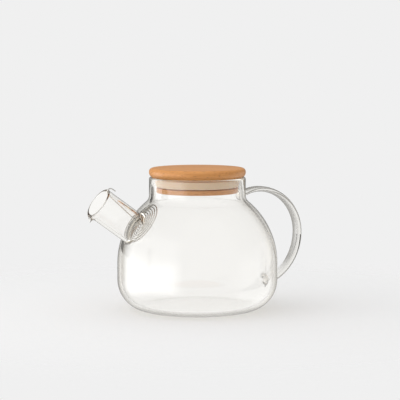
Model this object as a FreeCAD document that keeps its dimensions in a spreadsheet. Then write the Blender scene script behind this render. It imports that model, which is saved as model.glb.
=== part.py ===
"""A one-litre glass teapot: blown pot, tube spout, strap handle, bamboo lid with its seal, and wire strainer.

The pot stands on the plane Z = 0 with its axis on Z, the spout points to -X and the handle to +X.
All sizes are millimetres and degrees.
"""

import FreeCAD, Part
import math
import os

import Sketcher

Vector = FreeCAD.Vector

# Driving dimensions: alias, value, what it measures.
SIZES = [
    ("body_diameter", 136.0, "outside of the belly and of the half ball above it"),
    ("body_wall", 3.2, "glass of the pot"),
    ("corner_radius", 26.0, "outside corner between base and side"),
    ("side_height", 14.0, "upright part of the side"),
    ("neck_diameter", 82.0, "outside of the neck, and the lid that is flush with it"),
    ("neck_fillet", 7.0, "hollow curve between dome and neck"),
    ("neck_height", 15.5, "upright part of the neck"),
    ("spout_angle", 35.7, "rise of the spout above level"),
    ("spout_drop", 8.4, "axis of the spout below the middle of the dome"),
    ("spout_length", 37.9, "dome to mouth along the axis"),
    ("spout_diameter", 27.0, "outside of the spout tube"),
    ("spout_wall", 2.2, "glass of the spout"),
    ("hole_ledge", 1.0, "edge that the hole in the pot leaves inside the bore"),
    ("spout_weld", 3.0, "weld curve round the foot of the spout"),
    ("mouth_flare", 0.3, "how far the mouth opens at its top"),
    ("lip_flare", 0.6, "how far the pouring lip stands out under the mouth"),
    ("lip_length", 9.0, "length of tube that opens into the lip"),
    ("beak_drop", 3.0, "tip of the pulled beak below the lip"),
    ("beak_back", 2.8, "middle of the beak behind the mouth"),
    ("beak_width", 4.4, "beak where it leaves the bore"),
    ("beak_tip", 1.4, "beak at its tip"),
    ("handle_room", 28.0, "side of the belly to the middle of the strap"),
    ("handle_rise", 3.4, "foot of the neck to the middle of the strap at its highest"),
    ("handle_crown", 16.5, "side of the neck to the highest place of the strap"),
    ("handle_upper_radius", 33.0, "strap bend at the neck"),
    ("handle_lower_radius", 45.0, "strap bend back to the belly"),
    ("handle_width", 12.5, "width of the strap"),
    ("handle_thickness", 4.6, "thickness of the strap"),
    ("handle_edge_radius", 1.6, "rounding of the strap's edges"),
    ("handle_weld", 3.0, "weld curve round the ends of the strap"),
    ("lid_gap", 0.3, "rounded lower edge of the disc to the rounded rim"),
    ("lid_thickness", 8.1, "bamboo disc"),
    ("lid_top_round", 3.0, "upper edge of the disc"),
    ("lid_bottom_round", 4.4, "lower edge of the disc"),
    ("collar_height", 1.4, "bamboo collar above the seal"),
    ("plug_gap", 3.0, "bamboo collar and flange to the inside of the neck"),
    ("flange_height", 3.9, "bamboo flange under the seal"),
    ("flange_round", 0.8, "lower edge of the flange"),
    ("groove_depth", 2.3, "groove between collar and flange"),
    ("seal_height", 6.4, "silicone ring"),
    ("seal_foot", 0.4, "how far the lower edge of the ring stands out of the groove"),
    ("seal_foot_gap", 0.9, "ring to the flange under it"),
    ("seal_play", 0.15, "ring to the rest of the groove"),
    ("seal_lip_gap", 0.7, "upper edge of the ring to the inside of the neck"),
    ("seal_round", 0.6, "edges of the ring"),
    ("wire_diameter", 0.9, "strainer wire"),
    ("coil_pitch", 2.2, "wire to wire in the spiral"),
    ("coil_start", 2.6, "innermost radius of the spiral"),
    ("coil_half_turns", 15, "half turns in the spiral"),
    ("coil_phase", 270.0, "start of the spiral, round from the top of the spout"),
    ("coil_gap", 1.2, "spiral to the inside of the dome"),
    ("coil_drop", 1.0, "middle of the spiral below the middle of the dome, across the spout"),
    ("stem_bend", 2.2, "bend from spiral to stem"),
    ("hook_turn", 20.0, "hook, round the mouth from its highest point"),
    ("hook_gap", 0.5, "wire to the glass of the mouth"),
    ("hook_width", 5.8, "inner leg to outer leg"),
    ("hook_leg", 6.0, "outer leg below the top of the hook"),
]

doc = FreeCAD.newDocument("glass_teapot")
sheet = doc.addObject("Spreadsheet::Sheet", "sizes")
for row, (alias, value, meaning) in enumerate(SIZES, start=1):
    sheet.set(f"A{row}", meaning)
    sheet.set(f"B{row}", str(value))
    sheet.setAlias(f"B{row}", alias)
doc.recompute()


def size(alias):
    """The number in the sheet's cell of that name."""
    return float(sheet.get(alias))


def bind(thing, prop, formula):
    """Ties a property to the sheet; a word after # is one of its cells."""
    thing.setExpression(prop, formula.replace("#", "sizes."))


# Helpers for bodies, sketches and features

# Sketcher's numbers for its origin, level axis and upright axis, and for the points of a line or an arc
ORIGIN = LEVEL = -1
UPRIGHT = -2
START, END, CENTRE = 1, 2, 3

CLOSE = 0.01   # points nearer than this are taken as one


def new_body(name):
    body = doc.addObject("PartDesign::Body", name)
    body.Label = name
    return body


def attached(thing, body, role):
    """Attaches a thing to one of the body's own origin planes."""
    origin_plane = next(f for f in body.Origin.OriginFeatures if f.Role == role)
    thing.AttachmentSupport = [(origin_plane, "")]
    thing.MapMode = "FlatFace"
    return thing


def new_sketch(body, name, role):
    """An empty sketch on one of the body's own origin planes."""
    return attached(body.newObject("Sketcher::SketchObject", name), body, role)


def arc(centre, radius, start, end):
    """Arc of a circle in a sketch, counterclockwise between two angles in degrees."""
    circle = Part.Circle(Vector(*centre, 0), Vector(0, 0, 1), radius)
    return Part.ArcOfCircle(circle, math.radians(start), math.radians(end))


def segment(a, b):
    return Part.LineSegment(Vector(*a, 0), Vector(*b, 0))


def constrain(sketch, *rows):
    """Adds constraints, each given as its kind and its arguments."""
    for kind, *arguments in rows:
        sketch.addConstraint(Sketcher.Constraint(kind, *arguments))


def dimension(sketch, formula, kind, *arguments):
    """Adds a dimension whose value comes from the sheet."""
    index = sketch.addConstraint(Sketcher.Constraint(kind, *arguments))
    bind(sketch, f"Constraints[{index}]", formula)


def feature(body, kind, name, **settings):
    """Adds a PartDesign feature and works it out; a setting with # in it is bound to the sheet."""
    made = body.newObject(f"PartDesign::{kind}", name)
    for prop, value in settings.items():
        if isinstance(value, str) and "#" in value:
            bind(made, prop, value)
        else:
            setattr(made, prop, value)
    doc.recompute()
    return made


def turned(body, kind, name, sketch):
    """Revolution or Groove of a sketch about its upright axis."""
    return feature(body, kind, name, Profile=sketch, ReferenceAxis=(sketch, ["V_Axis"]), Angle=360.0)


def rounded(body, name, base, wanted, radius):
    """Fillet on those edges of a feature that a test picks out."""
    edges = [
        f"Edge{n}" for n, edge in enumerate(base.Shape.Edges, start=1) if not edge.Degenerated and wanted(edge)
    ]
    return feature(body, "Fillet", name, Base=(base, edges), Radius=radius)


def level(edge):
    """True for an edge that lies level."""
    return edge.BoundBox.ZLength < CLOSE


def ring_section(body, name, corners):
    """Closed half-section with straight sides: each corner is a radius, or None on the axis, and a height."""
    sketch = new_sketch(body, name, "YZ_Plane")
    count = len(corners)
    step = 2 * math.pi / count
    rough = [(BELLY * (2 + math.cos(n * step)), BELLY * (2 + math.sin(n * step))) for n in range(count)]
    sketch.addGeometry([segment(rough[n], rough[(n + 1) % count]) for n in range(count)])
    for n, (radius, height) in enumerate(corners):
        constrain(sketch, ("Coincident", n, END, (n + 1) % count, START))
        dimension(sketch, height, "DistanceY", ORIGIN, START, n, START, rough[n][1])
        if radius:
            dimension(sketch, radius, "DistanceX", ORIGIN, START, n, START, rough[n][0])
        else:
            constrain(sketch, ("PointOnObject", n, START, UPRIGHT))
    return sketch


# Outline of the pot, shared by every piece that is welded to it or fits it

BELLY = size("body_diameter") / 2
DOME_Z = size("corner_radius") + size("side_height")
NECK_CURVE_R = size("neck_diameter") / 2 + size("neck_fillet")
NECK_FOOT = DOME_Z + math.sqrt((BELLY + size("neck_fillet")) ** 2 - NECK_CURVE_R ** 2)
DOME_END = math.degrees(math.atan2(NECK_FOOT - DOME_Z, NECK_CURVE_R))
RIM = NECK_FOOT + size("neck_height")

# The same heights as formulas for the sheet
DOME_Z_CELLS = "#corner_radius + #side_height"
NECK_FOOT_CELLS = (
    f"{DOME_Z_CELLS} + sqrt((#body_diameter / 2 + #neck_fillet) ^ 2 - (#neck_diameter / 2 + #neck_fillet) ^ 2)"
)
RIM_CELLS = f"{NECK_FOOT_CELLS} + #neck_height"


def pot_outline(body, name, inset_cell=None):
    """Half-section of the pot, taken in all round by the value of a cell."""
    inset = size(inset_cell) if inset_cell else 0.0
    less = f" - #{inset_cell}" if inset_cell else ""
    more = f" + #{inset_cell}" if inset_cell else ""
    corner = size("corner_radius")
    neck = size("neck_diameter") / 2 - inset
    sketch = new_sketch(body, name, "YZ_Plane")
    floor, round_corner, upright, dome, neck_curve, neck_wall, rim, axis = sketch.addGeometry([
        segment((0, inset), (BELLY - corner, inset)),
        arc((BELLY - corner, corner), corner - inset, -90, 0),
        segment((BELLY - inset, corner), (BELLY - inset, DOME_Z)),
        arc((0, DOME_Z), BELLY - inset, 0, DOME_END),
        arc((NECK_CURVE_R, NECK_FOOT), size("neck_fillet") + inset, 180, 180 + DOME_END),
        segment((neck, NECK_FOOT), (neck, RIM)),
        segment((neck, RIM), (0, RIM)),
        segment((0, RIM), (0, inset)),
    ])
    constrain(
        sketch,
        ("Tangent", floor, END, round_corner, START),
        ("Tangent", round_corner, END, upright, START),
        ("Tangent", upright, END, dome, START),
        ("Tangent", dome, END, neck_curve, END),
        ("Tangent", neck_curve, START, neck_wall, START),
        ("Coincident", neck_wall, END, rim, START),
        ("Coincident", rim, END, axis, START),
        ("Coincident", axis, END, floor, START),
        ("Horizontal", floor),
        ("Vertical", upright),
        ("Vertical", neck_wall),
        ("Horizontal", rim),
        ("PointOnObject", dome, CENTRE, UPRIGHT),
        ("PointOnObject", rim, END, UPRIGHT),
    )
    if inset_cell:
        constrain(sketch, ("PointOnObject", floor, START, UPRIGHT))
        dimension(sketch, f"#{inset_cell}", "DistanceY", ORIGIN, START, floor, START, inset)
    else:
        constrain(sketch, ("Coincident", floor, START, ORIGIN, START))
    dimension(sketch, f"#body_diameter / 2{less}", "DistanceX", ORIGIN, START, upright, START, BELLY - inset)
    dimension(sketch, f"#corner_radius{less}", "Radius", round_corner, corner - inset)
    dimension(sketch, "#side_height", "DistanceY", upright, START, upright, END, size("side_height"))
    dimension(sketch, f"#neck_fillet{more}", "Radius", neck_curve, size("neck_fillet") + inset)
    dimension(sketch, f"#neck_diameter / 2{less}", "DistanceX", ORIGIN, START, neck_wall, END, neck)
    dimension(sketch, "#neck_height", "DistanceY", neck_wall, START, neck_wall, END, size("neck_height"))
    return sketch


def on_pot(point):
    """True on the outside of the pot, between base and rim."""
    r = math.hypot(point.x, point.y)
    corner = size("corner_radius")
    if point.z > NECK_FOOT:
        off = r - size("neck_diameter") / 2
    elif point.z > DOME_Z + BELLY * math.sin(math.radians(DOME_END)):
        off = math.hypot(r - NECK_CURVE_R, point.z - NECK_FOOT) - size("neck_fillet")
    elif point.z > DOME_Z:
        off = math.hypot(r, point.z - DOME_Z) - BELLY
    elif point.z > corner:
        off = r - BELLY
    else:
        off = math.hypot(r - (BELLY - corner), point.z - corner) - corner
    return abs(off) < CLOSE


def weld_edge(reach):
    """Test for the edges where a piece stands on the pot, no further than a distance from the plane Y = 0."""
    def wanted(edge):
        return all(on_pot(p) and abs(p.y) < reach for p in edge.discretize(9))
    return wanted


# Spout: a frame at the middle of its mouth, X up across it and Z out of it

SLOPE = math.radians(size("spout_angle"))
MOUTH_OUT = math.sqrt(BELLY ** 2 - size("spout_drop") ** 2) + size("spout_length")
MOUTH = Vector(
    -MOUTH_OUT * math.cos(SLOPE) - size("spout_drop") * math.sin(SLOPE),
    0,
    DOME_Z + MOUTH_OUT * math.sin(SLOPE) - size("spout_drop") * math.cos(SLOPE),
)
SPOUT_FRAME = FreeCAD.Placement(MOUTH, FreeCAD.Rotation(Vector(0, 1, 0), size("spout_angle") - 90))

# Middle of the dome to the mouth along the spout, and the bore's radius, as formulas
MOUTH_OUT_CELLS = "(sqrt((#body_diameter / 2) ^ 2 - #spout_drop ^ 2) + #spout_length)"
BORE_CELLS = "#spout_diameter / 2 - #spout_wall"

# The mouth is a wider circle than the tube, moved down, so that it opens most at the pouring lip
MOUTH_SPREAD = (size("mouth_flare") + size("lip_flare")) / 2
MOUTH_SHIFT = (size("mouth_flare") - size("lip_flare")) / 2
MOUTH_SPREAD_CELLS = "(#mouth_flare + #lip_flare) / 2"
MOUTH_SHIFT_CELLS = "(#mouth_flare - #lip_flare) / 2"


def place_on_spout(thing, depth, rise="0", turn="-90"):
    """Stands a thing across the spout: its depth in from the mouth and its rise off the axis, as formulas.

    A turn of -90 points its Z out of the mouth, and one of -180 points it down across the spout.
    """
    thing.AttachmentOffset = SPOUT_FRAME
    cosine, sine = "cos(#spout_angle * 1 deg)", "sin(#spout_angle * 1 deg)"
    along = f"({MOUTH_OUT_CELLS} - ({depth}))"
    drop = f"(#spout_drop - ({rise}))"
    bind(thing, "AttachmentOffset.Base.x", f"-{along} * {cosine} - {drop} * {sine}")
    bind(thing, "AttachmentOffset.Base.z", f"{DOME_Z_CELLS} + {along} * {sine} - {drop} * {cosine}")
    bind(thing, "AttachmentOffset.Rotation.Angle", f"#spout_angle {turn}")


def spout_circle(body, name, depth, radius, rise=None):
    """Circle across the spout: its depth in from the mouth, radius and rise off the axis, as formulas."""
    sketch = new_sketch(body, name, "XY_Plane")
    place_on_spout(sketch, depth)
    rough_radius = size("spout_diameter") / 2
    circle = sketch.addGeometry(Part.Circle(Vector(0, 0, 0), Vector(0, 0, 1), rough_radius))
    dimension(sketch, radius, "Radius", circle, rough_radius)
    if rise:
        constrain(sketch, ("PointOnObject", circle, CENTRE, LEVEL))
        dimension(sketch, rise, "DistanceX", ORIGIN, START, circle, CENTRE, MOUTH_SHIFT)
    else:
        constrain(sketch, ("Coincident", circle, CENTRE, ORIGIN, START))
    return sketch


def spout_lip(body, kind, name, radius):
    """Loft from the end of the tube, through a quarter of the flare halfway along, to the mouth."""
    sections = [
        spout_circle(body, f"{name}_half", "#lip_length / 2",
                     f"{radius} + {MOUTH_SPREAD_CELLS} / 4", f"{MOUTH_SHIFT_CELLS} / 4"),
        spout_circle(body, f"{name}_edge", "0", f"{radius} + {MOUTH_SPREAD_CELLS}", MOUTH_SHIFT_CELLS),
    ]
    root = spout_circle(body, f"{name}_root", "#lip_length", radius)
    return feature(body, kind, name, Profile=root, Sections=sections)


def spout_beak(body):
    """Small beak pulled out under the lip, close behind the mouth: a cone that starts inside the bore."""
    beak = attached(body.newObject("PartDesign::AdditiveCone", "spout_beak"), body, "XY_Plane")
    start = f"({BORE_CELLS} - #spout_wall)"
    place_on_spout(beak, "#beak_back", f"-{start}", "-180")
    bind(beak, "Radius1", "#beak_width / 2")
    bind(beak, "Radius2", "#beak_tip / 2")
    bind(beak, "Height", f"#spout_diameter / 2 + #lip_flare + #beak_drop - {start}")
    doc.recompute()


def across_mouth(edge):
    """True for an edge in the plane of the mouth."""
    out = SPOUT_FRAME.Rotation.multVec(Vector(0, 0, 1))
    return all(abs((p - MOUTH).dot(out)) < CLOSE for p in edge.discretize(9))


# Glass pieces. Spout and handle are built on the outline of the pot, given their weld curves there,
# and then have that outline cut away, so that each meets the pot face to face.

def make_pot():
    """Blown pot: turned, hollowed, fire-polished at the rim and holed for the spout."""
    body = new_body("glass_body")
    turned(body, "Revolution", "pot_outside", pot_outline(body, "pot_outline"))
    hollow = turned(body, "Groove", "pot_hollow", pot_outline(body, "pot_inner_outline", "body_wall"))
    rounded(body, "pot_rim", hollow, lambda e: level(e) and e.BoundBox.ZMax > RIM - CLOSE, "#body_wall * 0.48")
    hole = spout_circle(body, "pot_hole_circle", "0", f"{BORE_CELLS} - #hole_ledge")
    feature(body, "Pocket", "pot_hole", Profile=hole, Length=MOUTH_OUT_CELLS)
    return body


def make_spout():
    """Tube with a weld curve at its foot and a flared, fire-polished lip that has a small beak."""
    body = new_body("glass_spout")
    outline = pot_outline(body, "spout_seat_outline")
    turned(body, "Revolution", "spout_seat", outline)
    tube_length = f"{MOUTH_OUT_CELLS} - #lip_length"
    tube_circle = spout_circle(body, "spout_tube_circle", "#lip_length", "#spout_diameter / 2")
    tube = feature(body, "Pad", "spout_tube", Profile=tube_circle, Reversed=True, Length=tube_length)
    rounded(body, "spout_weld", tube, weld_edge(size("spout_diameter")), "#spout_weld")
    spout_lip(body, "AdditiveLoft", "spout_lip", "#spout_diameter / 2")
    spout_beak(body)
    turned(body, "Groove", "spout_seat_cut", outline)
    bore_circle = spout_circle(body, "spout_bore_circle", "#lip_length", BORE_CELLS)
    feature(body, "Pocket", "spout_bore", Profile=bore_circle, Length=tube_length)
    lip_bore = spout_lip(body, "SubtractiveLoft", "spout_lip_bore", BORE_CELLS)
    rounded(body, "spout_rim", lip_bore, across_mouth, "#spout_wall * 0.45")
    return body


# Bend of the strap over the hand, from its crown by the neck to its reach beyond the belly, as a formula
STRAP_MAIN_CELLS = "#body_diameter / 2 + #handle_room - #neck_diameter / 2 - #handle_crown"


def strap_path(body):
    """Middle line of the strap: from inside the neck, over the hand and back inside the belly."""
    reach = BELLY + size("handle_room")
    top = NECK_FOOT + size("handle_rise")
    upper, lower = size("handle_upper_radius"), size("handle_lower_radius")
    main = reach - size("neck_diameter") / 2 - size("handle_crown")
    middle = top - main
    sketch = new_sketch(body, "handle_path", "XZ_Plane")
    over_neck, over_hand, under_hand, into_belly = sketch.addGeometry([
        arc((reach - main, top - upper), upper, 90, 180),
        arc((reach - main, middle), main, 0, 90),
        arc((reach - lower, middle), lower, -90, 0),
        segment((reach - lower, middle - lower), (upper, middle - lower)),
    ])
    constrain(
        sketch,
        ("Tangent", over_neck, START, over_hand, END),
        ("Tangent", over_hand, START, under_hand, END),
        ("Tangent", under_hand, START, into_belly, START),
        ("Horizontal", into_belly),
        ("Vertical", over_neck, CENTRE, over_hand, CENTRE),
        ("Horizontal", over_neck, CENTRE, over_neck, END),
        ("Horizontal", over_hand, CENTRE, under_hand, CENTRE),
    )
    dimension(sketch, "#handle_upper_radius", "Radius", over_neck, upper)
    dimension(sketch, STRAP_MAIN_CELLS, "Radius", over_hand, main)
    dimension(sketch, "#handle_lower_radius", "Radius", under_hand, lower)
    dimension(sketch, "#body_diameter / 2 + #handle_room", "DistanceX", ORIGIN, START, over_hand, START, reach)
    dimension(sketch, f"{NECK_FOOT_CELLS} + #handle_rise", "DistanceY", ORIGIN, START, over_hand, END, top)
    dimension(sketch, "#handle_upper_radius", "DistanceX", ORIGIN, START, into_belly, END, upper)
    return sketch


def strap_section(body):
    """Flat oval of two slack and two tight arcs at the strap's start, where the strap points straight up."""
    width, thick, edge = (size(f"handle_{n}") for n in ("width", "thickness", "edge_radius"))
    across = width / 2 - edge
    slack = (across ** 2 + (thick / 2) ** 2 - edge ** 2) / (thick - 2 * edge)
    lean = math.degrees(math.atan2(across, slack - thick / 2))
    middle = size("neck_diameter") / 2 + size("handle_crown") - size("handle_upper_radius")
    sketch = new_sketch(body, "handle_section", "XY_Plane")
    bind(sketch, "AttachmentOffset.Base.z", f"{NECK_FOOT_CELLS} + #handle_rise - #handle_upper_radius")
    outer, far_edge, inner, near_edge = sketch.addGeometry([
        arc((middle + thick / 2 - slack, 0), slack, -lean, lean),
        arc((middle, across), edge, lean, 180 - lean),
        arc((middle - thick / 2 + slack, 0), slack, 180 - lean, 180 + lean),
        arc((middle, -across), edge, 180 + lean, 360 - lean),
    ])
    constrain(
        sketch,
        ("Tangent", outer, END, far_edge, START),
        ("Tangent", far_edge, END, inner, START),
        ("Tangent", inner, END, near_edge, START),
        ("Tangent", near_edge, END, outer, START),
        ("PointOnObject", outer, CENTRE, LEVEL),
        ("PointOnObject", inner, CENTRE, LEVEL),
        ("Equal", outer, inner),
        ("Equal", far_edge, near_edge),
    )
    across_cells = "(#handle_width / 2 - #handle_edge_radius)"
    slack_cells = (f"({across_cells} ^ 2 + (#handle_thickness / 2) ^ 2 - #handle_edge_radius ^ 2)"
                   " / (#handle_thickness - 2 * #handle_edge_radius)")
    middle_cells = "#neck_diameter / 2 + #handle_crown - #handle_upper_radius"
    dimension(sketch, middle_cells, "DistanceX", ORIGIN, START, far_edge, CENTRE, middle)
    dimension(sketch, across_cells, "DistanceY", ORIGIN, START, far_edge, CENTRE, across)
    dimension(sketch, "#handle_edge_radius", "Radius", far_edge, edge)
    dimension(sketch, slack_cells, "Radius", outer, slack)
    return sketch


def make_handle():
    """Pulled strap, spread where it is welded to neck and belly."""
    body = new_body("glass_handle")
    outline = pot_outline(body, "handle_seat_outline")
    turned(body, "Revolution", "handle_seat", outline)
    strap = feature(body, "AdditivePipe", "handle_strap", Profile=strap_section(body), Spine=strap_path(body))
    rounded(body, "handle_weld", strap, weld_edge(size("handle_width")), "#handle_weld")
    turned(body, "Groove", "handle_seat_cut", outline)
    return body


# Lid and seal: radii inside the neck and heights, as formulas

NECK_BORE = "#neck_diameter / 2 - #body_wall"
PLUG = f"{NECK_BORE} - #plug_gap"
SEAT = f"{PLUG} - #groove_depth"

# The disc's lower round sits on the round of the rim, so its flat underside dips a little into the neck
UNDERSIDE = (
    f"{RIM_CELLS} - #body_wall / 2 - #lid_bottom_round"
    " + sqrt((#lid_bottom_round + #body_wall / 2 + #lid_gap) ^ 2 - (#lid_bottom_round - #body_wall / 2) ^ 2)"
)
GROOVE_TOP = f"{UNDERSIDE} - #collar_height"
GROOVE_FOOT = f"{GROOVE_TOP} - #seal_play - #seal_height - #seal_foot_gap"
FLANGE_FOOT = f"{GROOVE_FOOT} - #flange_height"


def make_lid():
    """One turned block: disc with soft edges, collar, groove for the seal and flange."""
    body = new_body("bamboo_lid")
    lid_edge = "#neck_diameter / 2"
    lid_top = f"{UNDERSIDE} + #lid_thickness"
    section = ring_section(body, "lid_section", [
        (None, FLANGE_FOOT),
        (PLUG, FLANGE_FOOT),
        (PLUG, GROOVE_FOOT),
        (SEAT, GROOVE_FOOT),
        (SEAT, GROOVE_TOP),
        (PLUG, GROOVE_TOP),
        (PLUG, UNDERSIDE),
        (lid_edge, UNDERSIDE),
        (lid_edge, lid_top),
        (None, lid_top),
    ])
    block = turned(body, "Revolution", "lid_turned", section)
    disc_edge = size("neck_diameter") / 2 - CLOSE
    top = block.Shape.BoundBox.ZMax - CLOSE
    foot = block.Shape.BoundBox.ZMin + CLOSE

    def under_disc(edge):
        return level(edge) and edge.BoundBox.YMax > disc_edge and edge.BoundBox.ZMax < top

    lower = rounded(body, "lid_bottom_edge", block, under_disc, "#lid_bottom_round")
    upper = rounded(body, "lid_top_edge", lower, lambda e: level(e) and e.BoundBox.ZMin > top, "#lid_top_round")
    rounded(body, "lid_flange_edge", upper, lambda e: level(e) and e.BoundBox.ZMin < foot, "#flange_round")
    return body


def make_seal():
    """Tapered ring that is widest at its upper edge."""
    body = new_body("silicone_seal")
    inside = f"{SEAT} + #seal_play"
    foot = f"{GROOVE_FOOT} + #seal_foot_gap"
    top = f"{GROOVE_TOP} - #seal_play"
    section = ring_section(body, "seal_section", [
        (inside, foot),
        (f"{PLUG} + #seal_foot", foot),
        (f"{NECK_BORE} - #seal_lip_gap", top),
        (inside, top),
    ])
    ring = turned(body, "Revolution", "seal_turned", section)
    rounded(body, "seal_edges", ring, level, "#seal_round")
    return body


# Strainer: one wire, drawn in the frame of the spout

def corner_arc(before, corner, after, radius):
    """Arc that rounds a corner, from the run before it to the run after it."""
    back = (before - corner).normalize()
    on = (after - corner).normalize()
    half_angle = back.getAngle(on) / 2
    middle_line = (back + on).normalize()
    touch = radius / math.tan(half_angle)
    nearest = radius / math.sin(half_angle) - radius
    return Part.Arc(corner + back * touch, corner + middle_line * nearest, corner + on * touch)


def bent_run(points, radii):
    """Edges of straight runs through points, with each inner corner rounded."""
    arcs = [corner_arc(*points[n:n + 3], radius) for n, radius in enumerate(radii)]
    edges = []
    reached = points[0]
    for bend in arcs:
        edges += [Part.LineSegment(reached, bend.StartPoint).toShape(), bend.toShape()]
        reached = bend.EndPoint
    return edges + [Part.LineSegment(reached, points[-1]).toShape()]


def tangent_arc(start, control, end):
    """Arc from start to end whose tangents meet at a control point."""
    chord_middle = (start + end) * 0.5
    lean = (control - start).getAngle(end - start)
    share = math.tan(lean / 2) / math.tan(lean)
    return Part.Arc(start, chord_middle + (control - chord_middle) * share, end)


def biarc(start, heading, end, end_heading):
    """Two arcs that join smoothly and leave both ends along their headings."""
    span = end - start
    both = heading + end_heading
    spread = 2 * (1 - heading.dot(end_heading))
    along = span.dot(both)
    reach = (math.sqrt(along ** 2 + spread * span.dot(span)) - along) / spread
    control, end_control = start + heading * reach, end - end_heading * reach
    joint = (control + end_control) * 0.5
    return [tangent_arc(start, control, joint).toShape(), tangent_arc(joint, end_control, end).toShape()]


def spiral_point(turns):
    """Point and heading of the spiral, which lies on a ball about the middle of the dome."""
    ball = BELLY - size("body_wall") - size("coil_gap") - size("wire_diameter") / 2
    angle = math.radians(size("coil_phase")) + 2 * math.pi * turns
    radius = size("coil_start") + size("coil_pitch") * turns
    outward = Vector(math.cos(angle), math.sin(angle), 0)
    sideways = Vector(-math.sin(angle), math.cos(angle), 0)
    across = outward * radius - Vector(size("coil_drop"), 0, 0)
    height = math.sqrt(ball ** 2 - across.dot(across))
    heading = outward * size("coil_pitch") + sideways * (2 * math.pi * radius)
    heading.z = -across.dot(heading) / height
    return Vector(size("spout_drop"), 0, height - MOUTH_OUT) + across, heading.normalize()


def hook_and_stem(spiral_start, spiral_heading):
    """Edges from the tip of the hook, over the lip and down the spout to the start of the spiral."""
    turn = -math.radians(size("hook_turn"))
    outward = Vector(math.cos(turn), math.sin(turn), 0)
    mouth_bore = size("spout_diameter") / 2 - size("spout_wall") + MOUTH_SPREAD
    lip = MOUTH_SHIFT * math.cos(turn) + math.sqrt(mouth_bore ** 2 - (MOUTH_SHIFT * math.sin(turn)) ** 2)
    clear = size("hook_gap") + size("wire_diameter") / 2
    top = Vector(0, 0, clear)
    inner = outward * (lip - clear)
    outer = inner + outward * size("hook_width")
    foot_run = 1.1 * size("stem_bend")
    points = [
        outer + top - Vector(0, 0, size("hook_leg")),
        outer + top,
        inner + top,
        spiral_start - spiral_heading * foot_run,
        spiral_start,
    ]
    hook_bend = 0.45 * size("hook_width")
    return bent_run(points, [hook_bend, hook_bend, size("stem_bend")])


def least_gap(path, diameter):
    """Least distance between the surfaces of stretches of wire that aren't next to each other."""
    spacing = diameter / 2
    points = [tuple(p) for p in path.discretize(Distance=spacing)]
    apart = 8
    nearest = min(
        math.dist(p, q) for n, p in enumerate(points) for q in points[n + apart:]
    )
    return nearest - diameter


def make_strainer():
    """Wire strainer: the hook, stem and spiral are one pipe."""
    half_turns = int(size("coil_half_turns"))
    stations = [spiral_point(n / 2) for n in range(half_turns + 1)]
    edges = hook_and_stem(*stations[0])
    for here, there in zip(stations, stations[1:]):
        edges += biarc(*here, *there)
    path = Part.Wire(edges)
    diameter = size("wire_diameter")
    start = edges[0].valueAt(edges[0].FirstParameter)
    section = Part.Wire([Part.makeCircle(diameter / 2, start, edges[0].tangentAt(edges[0].FirstParameter))])
    strainer = doc.addObject("Part::Feature", "spring_strainer")
    strainer.Label = "spring_strainer"
    strainer.Shape = path.makePipeShell([section], True, False)
    strainer.Placement = SPOUT_FRAME
    drawn_volume = math.pi * diameter ** 2 / 4 * path.Length
    print(f"strainer wire: {path.Length:.1f} mm long, least gap to itself {least_gap(path, diameter):.2f} mm")
    print(f"strainer volume: {strainer.Shape.Volume / drawn_volume:.4f} of section times length")
    return strainer


SUB_PARTS = [make_pot(), make_spout(), make_handle(), make_lid(), make_seal(), make_strainer()]
doc.recompute()

failed = [thing.Name for thing in doc.Objects if {"Invalid", "Error"} & set(thing.State)]
failed += [part.Label for part in SUB_PARTS if part.Shape.isNull() or not part.Shape.isValid()]
if failed:
    raise RuntimeError("these did not build: " + ", ".join(failed))

os.makedirs("parts", exist_ok=True)
for part in SUB_PARTS:
    part.Shape.exportStep(f"parts/{part.Label}.step")
    print(f"{part.Label}: {len(part.Shape.Solids)} solid, {part.Shape.Volume / 1000:.2f} ml")
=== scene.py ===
"""Clear glass teapot with a bamboo lid, silicone seal and wire strainer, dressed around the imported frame.

Lengths are millimetres times MM. The pot's axis is Z, the spout points to -X and the handle to +X.
"""

import math

import bmesh
import bpy
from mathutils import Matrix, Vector
from mathutils.bvhtree import BVHTree


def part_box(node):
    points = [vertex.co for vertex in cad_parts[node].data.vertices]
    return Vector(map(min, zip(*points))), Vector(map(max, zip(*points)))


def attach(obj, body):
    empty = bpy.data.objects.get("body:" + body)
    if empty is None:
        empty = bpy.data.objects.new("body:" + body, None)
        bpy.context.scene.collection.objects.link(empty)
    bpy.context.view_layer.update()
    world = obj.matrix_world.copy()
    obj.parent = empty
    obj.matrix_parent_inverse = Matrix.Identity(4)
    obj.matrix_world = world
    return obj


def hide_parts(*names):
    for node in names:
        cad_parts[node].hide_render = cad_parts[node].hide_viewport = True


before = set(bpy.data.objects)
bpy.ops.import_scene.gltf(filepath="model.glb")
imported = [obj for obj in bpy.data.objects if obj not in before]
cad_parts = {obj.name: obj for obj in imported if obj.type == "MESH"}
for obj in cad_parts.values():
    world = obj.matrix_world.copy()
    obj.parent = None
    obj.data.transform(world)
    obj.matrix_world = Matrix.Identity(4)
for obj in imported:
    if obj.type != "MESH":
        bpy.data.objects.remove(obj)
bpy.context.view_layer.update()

MM = 0.001
NEAR = 0.02 * MM
Y_AXIS, Z_AXIS = Vector((0, 1, 0)), Vector((0, 0, 1))


# Sizes of the glass

BELLY = 68 * MM
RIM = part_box("glass_body")[1].z
WALL = 3.2 * MM
CORNER = 26 * MM
SIDE = 14 * MM
NECK = 41 * MM
NECK_CURVE = 7 * MM
DOME_Z = CORNER + SIDE
DOME = Vector((0, 0, DOME_Z))
DOME_END = math.acos((NECK + NECK_CURVE) / (BELLY + NECK_CURVE))
NECK_FOOT = DOME_Z + (BELLY + NECK_CURVE) * math.sin(DOME_END)

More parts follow.
